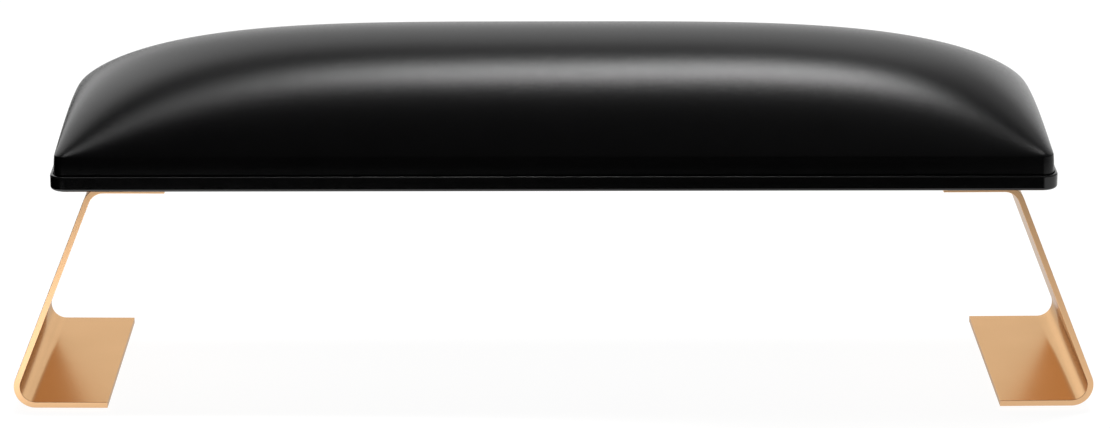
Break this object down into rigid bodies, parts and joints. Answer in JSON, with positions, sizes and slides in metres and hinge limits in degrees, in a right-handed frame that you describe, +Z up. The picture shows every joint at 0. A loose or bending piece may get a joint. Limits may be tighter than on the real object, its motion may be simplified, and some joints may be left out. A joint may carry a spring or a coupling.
{
  "type": "manicure hand rest",
  "caption": "Long domed leatherette hand cushion seated in a shallow tray, raised on bent metal legs whose feet turn inwards.",
  "frame": {"origin": "on the surface that the rest stands on, under the middle of the tray", "axes": "+X along the rest, to the right seen from the front; +Y from the front to the rear; +Z up"},
  "size_m": [0.4354, 0.125, 0.1464],
  "materials": {
    "leather": "satin black leatherette, very fine grain",
    "foam": "moulded upholstery foam",
    "plywood": "bare plywood",
    "tray_plastic": "black plastic, soft gloss",
    "rose_gold": "satin rose gold plate on steel sheet",
    "zinc_plate": "zinc plate",
    "grip_rubber": "matt black rubber"
  },
  "bodies": {
    "root": {"leather_cover": "leather", "foam_core": "foam", "pad_board": "plywood", "base_tray": "tray_plastic", "left_leg": "rose_gold", "right_leg": "rose_gold", "screw_left_1": "zinc_plate", "screw_left_2": "zinc_plate", "screw_left_3": "zinc_plate", "screw_right_1": "zinc_plate", "screw_right_2": "zinc_plate", "screw_right_3": "zinc_plate", "tee_nut_left_1": "zinc_plate", "tee_nut_left_2": "zinc_plate", "tee_nut_left_3": "zinc_plate", "tee_nut_right_1": "zinc_plate", "tee_nut_right_2": "zinc_plate", "tee_nut_right_3": "zinc_plate", "staple_front_1": "zinc_plate", "staple_front_2": "zinc_plate", "staple_front_3": "zinc_plate", "staple_front_4": "zinc_plate", "staple_front_5": "zinc_plate", "staple_front_6": "zinc_plate", "staple_front_7": "zinc_plate", "staple_front_8": "zinc_plate", "staple_front_9": "zinc_plate", "staple_rear_1": "zinc_plate", "staple_rear_2": "zinc_plate", "staple_rear_3": "zinc_plate", "staple_rear_4": "zinc_plate", "staple_rear_5": "zinc_plate", "staple_rear_6": "zinc_plate", "staple_rear_7": "zinc_plate", "staple_rear_8": "zinc_plate", "staple_rear_9": "zinc_plate", "staple_left_1": "zinc_plate", "staple_left_2": "zinc_plate", "staple_left_3": "zinc_plate", "staple_right_1": "zinc_plate", "staple_right_2": "zinc_plate", "staple_right_3": "zinc_plate", "grip_left_front": "grip_rubber", "grip_left_rear": "grip_rubber", "grip_right_front": "grip_rubber", "grip_right_rear": "grip_rubber"}
  },
  "joints": []
}
